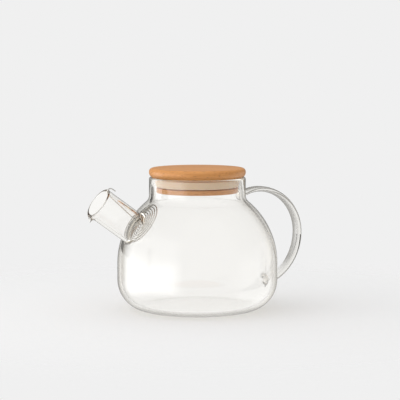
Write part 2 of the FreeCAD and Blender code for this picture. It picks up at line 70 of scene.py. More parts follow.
SPOUT_RISE = math.radians(35.7)
SPOUT_TILT = (0, SPOUT_RISE - math.pi / 2, 0)
SPOUT_AXIS = Vector((-math.cos(SPOUT_RISE), 0, math.sin(SPOUT_RISE)))
SPOUT_UP = Vector((math.sin(SPOUT_RISE), 0, math.cos(SPOUT_RISE)))
SPOUT_DROP = 8.4 * MM
SPOUT_RADIUS = 13.5 * MM
SPOUT_WALL = 2.2 * MM
SPOUT_LENGTH = 37.9 * MM
HOLE_RADIUS = 10.3 * MM
LIP_LENGTH = 9 * MM
MOUTH_FLARE = 0.3 * MM
LIP_FLARE = 0.6 * MM
MOUTH_SPREAD = (MOUTH_FLARE + LIP_FLARE) / 2
MOUTH_SHIFT = (MOUTH_FLARE - LIP_FLARE) / 2
MOUTH_OUT = math.sqrt(BELLY ** 2 - SPOUT_DROP ** 2) + SPOUT_LENGTH
LIP_ROOT = MOUTH_OUT - LIP_LENGTH
BEAK_PULL = SPOUT_UP * -4.4 * MM - SPOUT_AXIS * 3.7 * MM
BEAK_LENGTH = 6 * MM
BEAK_SPREAD = math.radians(10)   # round the mouth to each side

STRAP_WIDTH = 12.5 * MM
STRAP_THICKNESS = 4.6 * MM
STRAP_TOP = NECK_FOOT + 3.4 * MM
STRAP_REACH = BELLY + 28 * MM
STRAP_UPPER = 33 * MM
STRAP_MAIN = STRAP_REACH - NECK - 16.5 * MM
STRAP_LOWER = 45 * MM
STRAP_START = 123.1   # degrees round the upper bend, just under the skin of the neck
STRAP_END = 71.6      # degrees round the lower bend, just under the skin of the belly
LOWER_WELD = Vector((STRAP_REACH - STRAP_LOWER + STRAP_LOWER * math.cos(math.radians(STRAP_END)), 0,
                     STRAP_TOP - STRAP_MAIN - STRAP_LOWER * math.sin(math.radians(STRAP_END))))

SUNK = 1.6 * MM         # how deep the spout's foot stands in the wall before it is welded
SPOUT_WELD = 1.6 * MM   # how far the weld spreads
STRAP_WELD = 3.8 * MM
RIM_ROUND = 0.46        # of the wall, at a fire-polished rim

# Sizes of the lid and its seal

LID_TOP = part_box("bamboo_lid")[1].z
LID_THICKNESS = 8.1 * MM
LID_TOP_ROUND = 3.0 * MM
LID_BOTTOM_ROUND = 4.4 * MM
UNDERSIDE = LID_TOP - LID_THICKNESS
PLUG = 34.8 * MM
SEAT = 32.5 * MM
COLLAR_FOOT = UNDERSIDE - 1.4 * MM
FLANGE_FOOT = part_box("bamboo_lid")[0].z
FLANGE_TOP = FLANGE_FOOT + 3.9 * MM
FLANGE_ROUND = 0.8 * MM
TURNED_EDGE = 0.35 * MM
SEAL_FOOT, SEAL_TOP = (corner.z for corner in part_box("silicone_seal"))
SEAL_INSIDE = SEAT + 0.15 * MM
SEAL_LIP = 37.1 * MM
SEAL_HEEL = 35.2 * MM
SEAL_ROUND = 0.6 * MM

# Sizes of the strainer

WIRE = 0.9 * MM
COIL_PITCH = 2.2 * MM
COIL_START = 2.6 * MM
COIL_TURNS = 7.5
COIL_PHASE = math.radians(270)
COIL_DROP = 1.0 * MM
COIL_BALL = BELLY - WALL - 1.2 * MM - WIRE / 2
HOOK_TURN = math.radians(-20)
HOOK_GAP = 0.5 * MM
HOOK_WIDTH = 5.8 * MM
HOOK_LEG = 6 * MM
STEM_BEND = 2.2 * MM

# Fineness of the meshes

POT_SEGMENTS = 256
TUBE_SEGMENTS = 128
STRAP_SEGMENTS = 64
TURNED_SEGMENTS = 192
COIL_STEPS = 24                      # control places in each turn
SOFT_CREASE = math.radians(50)       # edges flatter than this are shaded smooth
TURNED_CREASE = math.radians(40)


# Modelling by hand: what every piece uses

def object_mode():
    """Leaves edit mode with nothing selected."""
    if bpy.context.object and bpy.context.object.mode != "OBJECT":
        bpy.ops.object.mode_set(mode="OBJECT")
    bpy.ops.object.select_all(action="DESELECT")


def work_on(piece, mode="OBJECT"):
    """Makes a piece the only selected one and goes into the given mode."""
    object_mode()
    piece.select_set(True)
    bpy.context.view_layer.objects.active = piece
    bpy.ops.object.mode_set(mode=mode)


def new_point(name, x, z):
    """A piece that is one selected vertex, in edit mode, to draw an outline from."""
    object_mode()
    bpy.ops.mesh.primitive_plane_add(size=MM)
    piece = bpy.context.object
    piece.name = name
    bpy.ops.object.mode_set(mode="EDIT")
    bpy.ops.mesh.select_mode(type="VERT")
    bpy.ops.mesh.select_all(action="SELECT")
    bpy.ops.mesh.merge(type="CENTER")
    bpy.ops.transform.translate(value=(x, 0, z))
    return piece


def line_to(x, z):
    """Extrudes the selected end of an outline to a place in its plane."""
    mesh = bmesh.from_edit_mesh(bpy.context.object.data)
    end = next(v for v in mesh.verts if v.select)
    bpy.ops.mesh.extrude_region_move(TRANSFORM_OT_translate={"value": Vector((x, 0, z)) - end.co})


def arc_about(x, z, degrees, steps):
    """Turns the selection about a centre in the outline's plane, counterclockwise with X right and Z up."""
    bpy.ops.mesh.spin(steps=steps, angle=math.radians(degrees), center=(x, 0, z), axis=Y_AXIS)


def turn_outline(segments):
    """Spins the whole outline about Z and closes its seam and poles."""
    bpy.ops.mesh.select_all(action="SELECT")
    bpy.ops.mesh.spin(steps=segments, angle=2 * math.pi, center=(0, 0, 0), axis=Z_AXIS)
    bpy.ops.mesh.select_all(action="SELECT")
    bpy.ops.mesh.remove_doubles(threshold=NEAR)
    bpy.ops.mesh.normals_make_consistent(inside=False)


def select_faces(wanted):
    """Selects only those faces of the piece in edit mode that a test picks out."""
    bpy.ops.mesh.select_mode(type="FACE")
    bpy.ops.mesh.select_all(action="DESELECT")
    mesh = bmesh.from_edit_mesh(bpy.context.object.data)
    for face in mesh.faces:
        face.select_set(wanted(face))
    bmesh.update_edit_mesh(bpy.context.object.data)


def polish_rim(piece, wanted, wall):
    """Rounds both edges of the ring of faces at the end of a wall."""
    work_on(piece, "EDIT")
    select_faces(wanted)
    bpy.ops.mesh.region_to_loop()
    bpy.ops.mesh.bevel(offset=RIM_ROUND * wall, segments=6, affect="EDGES")
    object_mode()


def apply_modifier(piece, kind, **settings):
    """Adds a modifier with its settings and applies it."""
    work_on(piece)
    modifier = piece.modifiers.new(kind.title(), kind)
    for name, value in settings.items():
        setattr(modifier, name, value)
    bpy.ops.object.modifier_apply(modifier=modifier.name)


# Glass: pot, spout and handle are made apart and then flame-welded into one piece

def blow_pot():
    """Pot drawn as an outline and spun, thickened inwards, with a fire-polished rim."""
    pot = new_point("blown_pot", 0, 0)
    line_to(BELLY - CORNER, 0)
    arc_about(BELLY - CORNER, CORNER, 90, steps=20)
    line_to(BELLY, DOME_Z)
    arc_about(0, DOME_Z, math.degrees(DOME_END), steps=44)
    arc_about(NECK + NECK_CURVE, NECK_FOOT, -math.degrees(DOME_END), steps=10)
    line_to(NECK, RIM)
    turn_outline(POT_SEGMENTS)
    apply_modifier(pot, "SOLIDIFY", thickness=WALL, offset=-1, use_even_offset=True)
    polish_rim(pot, lambda face: face.normal.z > 0.99 and face.calc_center_median().z > RIM - NEAR, WALL)
    return pot


def spout_place(along):
    """The place on the spout's axis that far out from the middle of the dome."""
    return DOME - SPOUT_UP * SPOUT_DROP + SPOUT_AXIS * along


def along_spout(place):
    """How far out along the spout a place is, and its offset from the spout's axis."""
    from_dome = place - spout_place(0)
    along = from_dome.dot(SPOUT_AXIS)
    return along, from_dome - SPOUT_AXIS * along


def punch_hole(pot):
    """Hole in the pot's wall behind the spout."""
    object_mode()
    bpy.ops.mesh.primitive_cylinder_add(vertices=TUBE_SEGMENTS, radius=HOLE_RADIUS, depth=10 * WALL,
                                        location=spout_place(BELLY - WALL), rotation=SPOUT_TILT)
    punch = bpy.context.object
    apply_modifier(pot, "BOOLEAN", operation="DIFFERENCE", object=punch, solver="EXACT")
    bpy.data.objects.remove(punch)


def draw_spout():
    """Tube drawn out from a ring, opened at its end into a lip, thickened inwards and fire-polished."""
    foot = math.sqrt(BELLY ** 2 - (SPOUT_DROP + SPOUT_RADIUS) ** 2)
    tube_steps, lip_steps = 72, 8
    object_mode()
    bpy.ops.mesh.primitive_circle_add(vertices=TUBE_SEGMENTS, radius=SPOUT_RADIUS, location=spout_place(foot),
                                      rotation=SPOUT_TILT)
    spout = bpy.context.object
    spout.name = "drawn_spout"
    bpy.ops.object.transform_apply()
    bpy.ops.object.mode_set(mode="EDIT")
    bpy.ops.mesh.select_all(action="SELECT")
    for length, steps in ((LIP_ROOT - foot, tube_steps), (LIP_LENGTH, lip_steps)):
        for _ in range(steps):
            bpy.ops.mesh.extrude_region_move(TRANSFORM_OT_translate={"value": SPOUT_AXIS * (length / steps)})
    mesh = bmesh.from_edit_mesh(spout.data)
    for vertex in mesh.verts:
        along, across = along_spout(vertex.co)
        if along < LIP_ROOT:
            beside_dome = across - SPOUT_UP * SPOUT_DROP
            sunk_foot = math.sqrt((BELLY - SUNK) ** 2 - beside_dome.length_squared)
            share = (LIP_ROOT - along) / (LIP_ROOT - foot)
            vertex.co += SPOUT_AXIS * (foot - sunk_foot) * -share
        else:
            opened = ((along - LIP_ROOT) / LIP_LENGTH) ** 2
            vertex.co += (across.normalized() * MOUTH_SPREAD + SPOUT_UP * MOUTH_SHIFT) * opened
    bpy.ops.mesh.select_all(action="SELECT")
    bpy.ops.mesh.normals_make_consistent(inside=False)
    apply_modifier(spout, "SOLIDIFY", thickness=SPOUT_WALL, offset=-1, use_even_offset=True)
    polish_rim(spout, lambda face: face.normal.dot(SPOUT_AXIS) > 0.6
               and along_spout(face.calc_center_median())[0] > MOUTH_OUT - SPOUT_WALL, SPOUT_WALL)
    return spout


def pull_beak(spout):
    """Draws the lowest part of the lip down and back into a small beak."""
    for vertex in spout.data.vertices:
        along, across = along_spout(vertex.co)
        near_rim = max(0.0, 1 - (MOUTH_OUT - along) / BEAK_LENGTH)
        beside_beak = across.angle(-SPOUT_UP) / BEAK_SPREAD
        vertex.co += BEAK_PULL * near_rim ** 2 * math.exp(-beside_beak ** 2)


def pull_handle():
    """Flat oval ring pulled round three bends from neck to belly, and closed at both ends."""
    bend_x = STRAP_REACH - STRAP_MAIN
    middle_z = STRAP_TOP - STRAP_MAIN
    start = math.radians(STRAP_START)
    outward = Vector((math.cos(start), 0, math.sin(start)))
    middle = Vector((bend_x, 0, STRAP_TOP - STRAP_UPPER)) + outward * STRAP_UPPER
    squareness = 0.8   # 1 would be an oval, and less is squarer
    object_mode()
    bpy.ops.mesh.primitive_circle_add(vertices=STRAP_SEGMENTS, radius=STRAP_WIDTH / 2)
    handle = bpy.context.object
    handle.name = "pulled_handle"
    bpy.ops.object.mode_set(mode="EDIT")
    bpy.ops.mesh.select_all(action="SELECT")
    for vertex in bmesh.from_edit_mesh(handle.data).verts:
        thick, wide = (math.copysign(abs(part) ** squareness, part) for part in vertex.co.normalized().xy)
        vertex.co = middle + outward * (thick * STRAP_THICKNESS / 2) + Y_AXIS * (wide * STRAP_WIDTH / 2)
    arc_about(bend_x, STRAP_TOP - STRAP_UPPER, 90 - STRAP_START, steps=40)
    arc_about(bend_x, middle_z, -90, steps=64)
    arc_about(STRAP_REACH - STRAP_LOWER, middle_z, -STRAP_END, steps=120)
    bpy.ops.mesh.select_all(action="SELECT")
    bpy.ops.mesh.fill_holes(sides=0)
    bpy.ops.mesh.normals_make_consistent(inside=False)
    object_mode()
    return handle


def press_on(part, pot, reach, pressed):
    """Spreads the foot of a part on the skin of the pot, as soft glass does when it is pressed on."""
    skin = BVHTree.FromObject(pot, bpy.context.evaluated_depsgraph_get())
    outwards = [vertex.normal.copy() for vertex in part.data.vertices]
    for vertex, outward in zip(part.data.vertices, outwards):
        nearest, skin_normal, _, _ = skin.find_nearest(vertex.co, reach)
        if nearest and pressed(vertex.co):
            short = reach - max(0.0, (vertex.co - nearest).dot(skin_normal))
            aside = (outward - skin_normal * outward.dot(skin_normal)).normalized()
            vertex.co += aside * (reach - math.sqrt(reach ** 2 - short ** 2))


def weld(glass, *parts):
    """Fuses parts with the pot into one piece of glass."""
    glass.name = "welded_glass"
    for part in parts:
        apply_modifier(glass, "BOOLEAN", operation="UNION", object=part, solver="EXACT")
        bpy.data.objects.remove(part)
    work_on(glass)
    bpy.ops.object.shade_smooth_by_angle(angle=SOFT_CREASE)


# Lid and seal, turned and moulded

def turn_lid():
    """Bamboo block turned from one outline: flange, groove for the seal, collar and soft-edged disc."""
    lid = new_point("turned_lid", 0, FLANGE_FOOT)
    line_to(PLUG - FLANGE_ROUND, FLANGE_FOOT)
    arc_about(PLUG - FLANGE_ROUND, FLANGE_FOOT + FLANGE_ROUND, 90, steps=5)
    for x, z in ((PLUG, FLANGE_TOP), (SEAT, FLANGE_TOP), (SEAT, COLLAR_FOOT), (PLUG, COLLAR_FOOT),
                 (PLUG, UNDERSIDE), (NECK - LID_BOTTOM_ROUND, UNDERSIDE)):
        line_to(x, z)
    arc_about(NECK - LID_BOTTOM_ROUND, UNDERSIDE + LID_BOTTOM_ROUND, 90, steps=14)
    line_to(NECK, LID_TOP - LID_TOP_ROUND)
    arc_about(NECK - LID_TOP_ROUND, LID_TOP - LID_TOP_ROUND, 90, steps=10)
    line_to(0, LID_TOP)
    turn_outline(TURNED_SEGMENTS)
    apply_modifier(lid, "BEVEL", width=TURNED_EDGE, segments=3,
                   limit_method="ANGLE", angle_limit=TURNED_CREASE)
    bpy.ops.object.shade_smooth_by_angle(angle=TURNED_CREASE)
    return lid


def mould_seal():
    """Silicone ring, widest at its upper lip, with soft edges."""
    seal = new_point("moulded_seal", SEAL_INSIDE, SEAL_FOOT)
    for x, z in ((SEAL_HEEL, SEAL_FOOT), (SEAL_LIP, SEAL_TOP),
                 (SEAL_INSIDE, SEAL_TOP), (SEAL_INSIDE, SEAL_FOOT)):
        line_to(x, z)
    turn_outline(TURNED_SEGMENTS)
    apply_modifier(seal, "BEVEL", width=SEAL_ROUND, segments=5,
                   limit_method="ANGLE", angle_limit=TURNED_CREASE)
    bpy.ops.object.shade_smooth_by_angle(angle=TURNED_CREASE)
    return seal


# Strainer: one wire, hooked over the lip, straight down the spout and wound into a dished spiral

def spiral_place(turns):
    """Place on the spiral, which lies on a ball inside the dome."""
    angle = COIL_PHASE + 2 * math.pi * turns
    radius = COIL_START + COIL_PITCH * turns
    across = (SPOUT_UP * math.cos(angle) + Y_AXIS * math.sin(angle)) * radius - SPOUT_UP * COIL_DROP
    out = math.sqrt(COIL_BALL ** 2 - across.length_squared)
    return DOME + SPOUT_AXIS * out + across


def strainer_route():
    """Control places of the wire: hook, stem and spiral."""
    spiral = [spiral_place(n / COIL_STEPS) for n in range(round(COIL_TURNS * COIL_STEPS) + 1)]
    outward = SPOUT_UP * math.cos(HOOK_TURN) + Y_AXIS * math.sin(HOOK_TURN)
    bore = SPOUT_RADIUS - SPOUT_WALL + MOUTH_SPREAD
    lip = MOUTH_SHIFT * math.cos(HOOK_TURN) + math.sqrt(bore ** 2 - (MOUTH_SHIFT * math.sin(HOOK_TURN)) ** 2)
    clear = HOOK_GAP + WIRE / 2
    inner = spout_place(MOUTH_OUT + clear) + outward * (lip - clear)
    outer = inner + outward * HOOK_WIDTH
    foot = spiral[0] - (spiral[1] - spiral[0]).normalized() * STEM_BEND
    down = (foot - inner).normalized()
    hook = [outer - SPOUT_AXIS * HOOK_LEG, outer - SPOUT_AXIS * HOOK_LEG / 2, outer, inner]
    return hook + [inner + down * HOOK_WIDTH, foot - down * 2 * STEM_BEND, foot] + spiral


def wind_strainer():
    """Drawn wire laid along its route as one smooth curve."""
    route = strainer_route()
    object_mode()
    bpy.ops.curve.primitive_nurbs_path_add()
    strainer = bpy.context.object
    strainer.name = "wound_strainer"
    spline = strainer.data.splines[0]
    spline.points.add(len(route) - len(spline.points))
    for point, place in zip(spline.points, route):
        point.co = (*place, 1)
    spline.order_u = 4
    spline.use_endpoint_u = True
    spline.resolution_u = 4
    strainer.data.bevel_depth = WIRE / 2
    strainer.data.bevel_resolution = 3
    strainer.data.use_fill_caps = True
    bpy.ops.object.convert(target="MESH")
    bpy.ops.object.shade_smooth_by_angle(angle=SOFT_CREASE)
    return strainer


# Materials

def linear(code):
    """Linear colour of an sRGB hex value."""
    parts = [int(code[n:n + 2], 16) / 255 for n in (1, 3, 5)]
    return (*[p / 12.92 if p <= 0.04045 else ((p + 0.055) / 1.055) ** 2.4 for p in parts], 1.0)


def add_node(tree, kind, sockets=None, **settings):
    """Adds a node; each socket gets a value, or a link from another node's output."""
    made = tree.nodes.new(kind)
    for name, value in settings.items():
        setattr(made, name, value)
    for name, value in (sockets or {}).items():
        if isinstance(value, bpy.types.NodeSocket):
            tree.links.new(value, made.inputs[name])
        else:
            made.inputs[name].default_value = value
    return made


def new_material(name):
    """An empty node material and its tree."""
    material = bpy.data.materials.new(name)
    material.use_nodes = True
    material.node_tree.nodes.clear()
    return material, material.node_tree


def thick_glass_shade_mask(tree, place, parts):
    """Mask for painted shade on the glass: 1 on the handle and its lower weld and less at the foot of the
    pot.
    """
    foot_full, foot_gone, foot_share = 4 * MM, 8 * MM, 0.7   # heights over the table, and how strong
    weld_full, weld_gone = 7 * MM, 10 * MM                   # from the middle of the lower weld
    beyond_belly = add_node(tree, "ShaderNodeMapRange", {
        "Value": parts["X"], "From Min": BELLY - WALL, "From Max": BELLY})
    from_dome = add_node(tree, "ShaderNodeVectorMath", {0: place, 1: DOME}, operation="DISTANCE")
    off_dome = add_node(tree, "ShaderNodeMapRange", {
        "Value": from_dome.outputs["Value"], "From Min": BELLY + 0.5 * MM, "From Max": BELLY + 2 * MM})
    off_neck = add_node(tree, "ShaderNodeMapRange", {
        "Value": parts["X"], "From Min": NECK + 1 * MM, "From Max": NECK + 4 * MM,
        "To Max": off_dome.outputs["Result"]})
    over_dome = add_node(tree, "ShaderNodeMapRange", {
        "Value": parts["Z"], "From Min": DOME_Z, "From Max": DOME_Z + 5 * MM,
        "To Max": off_neck.outputs["Result"]})
    strap = add_node(tree, "ShaderNodeMath", {
        0: beyond_belly.outputs["Result"], 1: over_dome.outputs["Result"]}, operation="MAXIMUM")
    foot = add_node(tree, "ShaderNodeMapRange", {
        "Value": parts["Z"], "From Min": foot_full, "From Max": foot_gone,
        "To Min": foot_share, "To Max": 0.0})
    from_weld = add_node(tree, "ShaderNodeVectorMath", {0: place, 1: LOWER_WELD}, operation="DISTANCE")
    welded = add_node(tree, "ShaderNodeMapRange", {
        "Value": from_weld.outputs["Value"], "From Min": weld_full, "From Max": weld_gone,
        "To Min": 1.0, "To Max": 0.0})
    ends = add_node(tree, "ShaderNodeMath", {
        0: welded.outputs["Result"], 1: foot.outputs["Result"]}, operation="MAXIMUM")
    return add_node(tree, "ShaderNodeMath", {
        0: strap.outputs["Value"], 1: ends.outputs["Value"]}, operation="MAXIMUM").outputs["Value"]


def glass_tint_with_painted_shade(tree, place):
    """Colour of the glass with painted shade: clear face on, greyer where sight runs along the wall or the
    glass is thick.
    """
    thin_from, thin_to = 0.55, 0.9   # how far from face on the painted grey begins and is full
    thick_from, thick_to = -0.07, 0.8
    parts = add_node(tree, "ShaderNodeSeparateXYZ", {"Vector": place}).outputs
    thick = thick_glass_shade_mask(tree, place, parts)
    grey_from = add_node(tree, "ShaderNodeMapRange", {
        "Value": thick, "To Min": thin_from, "To Max": thick_from})
    grey_to = add_node(tree, "ShaderNodeMapRange", {
        "Value": thick, "To Min": thin_to, "To Max": thick_to})
    # painted shade: the grey the glass shows at its edges, pale on thin glass and dark on thick
    painted_shade_grey = add_node(tree, "ShaderNodeMix", {
        "Factor": thick, 6: linear("#CECAC2"), 7: linear("#625E57")}, data_type="RGBA")
    # upward faces low in the pot, such as its floor inside, get no painted shade
    above_corner = add_node(tree, "ShaderNodeMapRange", {
        "Value": parts["Z"], "From Min": CORNER, "From Max": DOME_Z})
    normal = add_node(tree, "ShaderNodeNewGeometry").outputs["Normal"]
    upward = add_node(tree, "ShaderNodeSeparateXYZ", {"Vector": normal}).outputs["Z"]
    not_floor = add_node(tree, "ShaderNodeMapRange", {
        "Value": upward, "From Min": 0.02, "From Max": 0.2, "To Min": 1.0,
        "To Max": above_corner.outputs["Result"]})
    facing = add_node(tree, "ShaderNodeLayerWeight", {"Blend": 0.5}).outputs["Facing"]
    grazing = add_node(tree, "ShaderNodeMapRange", {
        "Value": facing, "From Min": grey_from.outputs["Result"], "From Max": grey_to.outputs["Result"],
        "To Max": not_floor.outputs["Result"]},
        interpolation_type="SMOOTHSTEP")
    # painted shade mixed into the clear glass where it is seen along the wall or is thick
    painted_shade_tint = add_node(tree, "ShaderNodeMix", {
        "Factor": grazing.outputs["Result"], 6: linear("#FFFFFF"), 7: painted_shade_grey.outputs[2]}, data_type="RGBA")
    return painted_shade_tint.outputs[2]


def straight_light(tree):
    """Share and colour of what goes straight through: light for other things, and rays caught in the wall."""
    mirror_weight, most_turns = 2.0, 8.5
    path = add_node(tree, "ShaderNodeLightPath").outputs
    turns = add_node(tree, "ShaderNodeMath", {
        0: path["Glossy Depth"], 1: mirror_weight, 2: path["Ray Depth"]}, operation="MULTIPLY_ADD")
    caught = add_node(tree, "ShaderNodeMath", {
        0: turns.outputs["Value"], 1: most_turns}, operation="GREATER_THAN").outputs["Value"]
    light = add_node(tree, "ShaderNodeMath", {
        0: path["Is Shadow Ray"], 1: path["Is Diffuse Ray"]}, operation="MAXIMUM")
    share = add_node(tree, "ShaderNodeMath", {0: light.outputs["Value"], 1: caught}, operation="MAXIMUM")
    # rays caught in the wall go straight on, greyed as painted shade for the light they would lose there
    colour = add_node(tree, "ShaderNodeMix", {
        "Factor": caught, 6: linear("#FEFEFD"), 7: linear("#DEDAD3")}, data_type="RGBA")
    return share.outputs["Value"], colour.outputs[2]


def borosilicate_glass():
    """Blown borosilicate, fire-polished: clear and faintly wavy, with painted shade that greys it where thick
    or seen along the wall.
    """
    wave_length, wave_depth = 28 * MM, 0.02 * MM
    material, tree = new_material("borosilicate_glass_fire_polished")
    place = add_node(tree, "ShaderNodeTexCoord").outputs["Object"]
    waves = add_node(tree, "ShaderNodeTexNoise", {"Vector": place, "Scale": 1 / wave_length, "Detail": 1.0})
    bump = add_node(tree, "ShaderNodeBump", {
        "Height": waves.outputs["Fac"], "Distance": wave_depth, "Strength": 1.0})
    glass = add_node(tree, "ShaderNodeBsdfPrincipled", {
        "Base Color": glass_tint_with_painted_shade(tree, place), "Roughness": 0.0, "IOR": 1.47, "Transmission Weight": 1.0,
        "Normal": bump.outputs["Normal"]})
    share, colour = straight_light(tree)
    lit_through = add_node(tree, "ShaderNodeBsdfTransparent", {"Color": colour})
    surface = add_node(tree, "ShaderNodeMixShader", {
        "Fac": share, 1: glass.outputs["BSDF"], 2: lit_through.outputs["BSDF"]})
    depth = add_node(tree, "ShaderNodeVolumeAbsorption", {"Color": linear("#C8C5BE"), "Density": 18.0})
    add_node(tree, "ShaderNodeOutputMaterial", {
        "Surface": surface.outputs["Shader"], "Volume": depth.outputs["Volume"]})
    return material


def laminated_bamboo():
    """Carbonised bamboo strips, glued, turned and oiled: fine straight fibres, short dark vessels, satin."""
    strip_width, strip_contrast = 7 * MM, 0.3
    fibre_width, fibre_length = 1.2 * MM, 30 * MM
    vessel_width, vessel_length = 1.0 * MM, 5 * MM
    material, tree = new_material("laminated_bamboo_oiled")
    place = add_node(tree, "ShaderNodeTexCoord").outputs["Object"]
    grain = add_node(tree, "ShaderNodeMapping", {
        "Vector": place, "Rotation": (0, 0, GRAIN_TURN)}).outputs["Vector"]
    across = add_node(tree, "ShaderNodeSeparateXYZ", {"Vector": grain}).outputs["Y"]
    strip = add_node(tree, "ShaderNodeMath", {0: across, 1: strip_width}, operation="DIVIDE")
    strip_number = add_node(tree, "ShaderNodeMath", {0: strip.outputs["Value"]}, operation="FLOOR")
    strip_tone = add_node(tree, "ShaderNodeTexWhiteNoise", {"W": strip_number.outputs["Value"]},
                          noise_dimensions="1D")
    fibre_place = add_node(tree, "ShaderNodeVectorMath", {
        0: grain, 1: (1 / fibre_length, 1 / fibre_width, 1 / fibre_width)}, operation="MULTIPLY")
    fibres = add_node(tree, "ShaderNodeTexNoise", {
        "Vector": fibre_place.outputs["Vector"], "Scale": 1.0, "Detail": 3.0, "Roughness": 0.6})
    vessel_place = add_node(tree, "ShaderNodeVectorMath", {
        0: grain, 1: (1 / vessel_length, 1 / vessel_width, 1 / vessel_width)}, operation="MULTIPLY")
    vessels = add_node(tree, "ShaderNodeTexNoise", {
        "Vector": vessel_place.outputs["Vector"], "Scale": 1.0, "Detail": 1.0})
    vessel_dark = add_node(tree, "ShaderNodeMapRange", {
        "Value": vessels.outputs["Fac"], "From Min": 0.62, "From Max": 0.76, "To Min": 0.0, "To Max": 0.55})
    fibre_colour = add_node(tree, "ShaderNodeMix", {
        "Factor": fibres.outputs["Fac"], 6: linear("#C67D3C"), 7: linear("#F4B26A")}, data_type="RGBA")
    strip_share = add_node(tree, "ShaderNodeMath", {
        0: strip_tone.outputs["Value"], 1: strip_contrast}, operation="MULTIPLY")
    strip_colour = add_node(tree, "ShaderNodeMix", {
        "Factor": strip_share.outputs["Value"], 6: fibre_colour.outputs[2], 7: linear("#B87C44")},
        data_type="RGBA")
    colour = add_node(tree, "ShaderNodeMix", {
        "Factor": vessel_dark.outputs["Result"], 6: strip_colour.outputs[2], 7: linear("#7C4E26")},
        data_type="RGBA")
    rough = add_node(tree, "ShaderNodeMapRange", {
        "Value": fibres.outputs["Fac"], "To Min": 0.44, "To Max": 0.33})
    bump = add_node(tree, "ShaderNodeBump", {
        "Height": fibres.outputs["Fac"], "Distance": 0.04 * MM, "Strength": 0.6})
    wood = add_node(tree, "ShaderNodeBsdfPrincipled", {
        "Base Color": colour.outputs[2], "Roughness": rough.outputs["Result"], "IOR": 1.5,
        "Specular IOR Level": 0.5, "Normal": bump.outputs["Normal"]})
    add_node(tree, "ShaderNodeOutputMaterial", {"Surface": wood.outputs["BSDF"]})
    return material


def cast_silicone():
    """Moulded food-grade silicone, natural cream: soft satin with light inside it and a faint grain."""
    grain_size, cloud_size = 0.5 * MM, 12 * MM   # the real grain is finer and would not show
    material, tree = new_material("silicone_moulded_natural")
    place = add_node(tree, "ShaderNodeTexCoord").outputs["Object"]
    grain = add_node(tree, "ShaderNodeTexNoise", {"Vector": place, "Scale": 1 / grain_size, "Detail": 2.0})
    cloud = add_node(tree, "ShaderNodeTexNoise", {"Vector": place, "Scale": 1 / cloud_size, "Detail": 2.0})
    colour = add_node(tree, "ShaderNodeMix", {
        "Factor": cloud.outputs["Fac"], 6: linear("#EBCBA8"), 7: linear("#F5DABA")}, data_type="RGBA")
    rough = add_node(tree, "ShaderNodeMapRange", {
        "Value": grain.outputs["Fac"], "To Min": 0.4, "To Max": 0.6})
    bump = add_node(tree, "ShaderNodeBump", {
        "Height": grain.outputs["Fac"], "Distance": 0.02 * MM, "Strength": 0.5})
    rubber = add_node(tree, "ShaderNodeBsdfPrincipled", {
        "Base Color": colour.outputs[2], "Roughness": rough.outputs["Result"], "IOR": 1.41,
        "Subsurface Weight": 0.4, "Subsurface Radius": (1.0, 0.8, 0.5), "Subsurface Scale": 1.5 * MM,
        "Normal": bump.outputs["Normal"]})
    add_node(tree, "ShaderNodeOutputMaterial", {"Surface": rubber.outputs["BSDF"]})
    return material


def stainless_wire():
    """Drawn stainless wire: bright metal with faint dull stretches from the die."""
    stretch = 4 * MM
    material, tree = new_material("stainless_steel_drawn")
    place = add_node(tree, "ShaderNodeTexCoord").outputs["Object"]
    dull = add_node(tree, "ShaderNodeTexNoise", {"Vector": place, "Scale": 1 / stretch, "Detail": 3.0})
    rough = add_node(tree, "ShaderNodeMapRange", {
        "Value": dull.outputs["Fac"], "To Min": 0.18, "To Max": 0.4})
    colour = add_node(tree, "ShaderNodeMix", {
        "Factor": dull.outputs["Fac"], 6: linear("#D0CCC6"), 7: linear("#E4E0DA")}, data_type="RGBA")
    steel = add_node(tree, "ShaderNodeBsdfPrincipled", {
        "Base Color": colour.outputs[2], "Metallic": 1.0, "Roughness": rough.outputs["Result"]})
    add_node(tree, "ShaderNodeOutputMaterial", {"Surface": steel.outputs["BSDF"]})
    return material


# Studio: camera at the photograph's angle, pale floor that fades into the background, soft light

VIEW_AZIMUTH = math.radians(-25)
VIEW_ELEVATION = math.radians(6.5)
VIEW_DISTANCE = 1.5
LENS = 158.8
SENSOR = 36.0
FRAME_PIXELS = 400
POT_MIDDLE = Vector((0, 0, 60 * MM))
POT_MIDDLE_PIXEL = (197.35, 239.3)
GRAIN_TURN = -VIEW_AZIMUTH   # the lid lies with its grain across the view

BACKGROUND = "#F0F0F0"


def direction(azimuth, elevation):
    """Unit vector towards a place round the object; azimuth 0 is in front, at -Y."""
    level = math.cos(elevation)
    return Vector((math.sin(azimuth) * level, -math.cos(azimuth) * level, math.sin(elevation)))


def set_camera():
    """Camera at the photograph's angle, aimed so that the pot's middle falls on its place in the frame."""
    back = direction(VIEW_AZIMUTH, VIEW_ELEVATION)
    right = Vector((math.cos(VIEW_AZIMUTH), math.sin(VIEW_AZIMUTH), 0))
    up = back.cross(right)
    pixel = VIEW_DISTANCE * SENSOR / LENS / FRAME_PIXELS
    aim = POT_MIDDLE + right * (FRAME_PIXELS / 2 - POT_MIDDLE_PIXEL[0]) * pixel
    aim += up * (POT_MIDDLE_PIXEL[1] - FRAME_PIXELS / 2) * pixel
    place = POT_MIDDLE + back * VIEW_DISTANCE
    object_mode()
    bpy.ops.object.camera_add(location=place, rotation=(aim - place).to_track_quat("-Z", "Y").to_euler())
    camera = bpy.context.object
    camera.data.lens = LENS
    camera.data.sensor_width = SENSOR
    bpy.context.scene.camera = camera


def soft_light(name, azimuth, elevation, distance, size, power):
    """Square soft box that faces the pot."""
    towards = direction(math.radians(azimuth), math.radians(elevation))
    object_mode()
    bpy.ops.object.light_add(type="AREA", location=POT_MIDDLE + towards * distance,
                             rotation=towards.to_track_quat("Z", "Y").to_euler())
    light = bpy.context.object
    light.name = name
    light.data.size = size
    light.data.energy = power
    light.visible_glossy = False
    light.visible_transmission = False


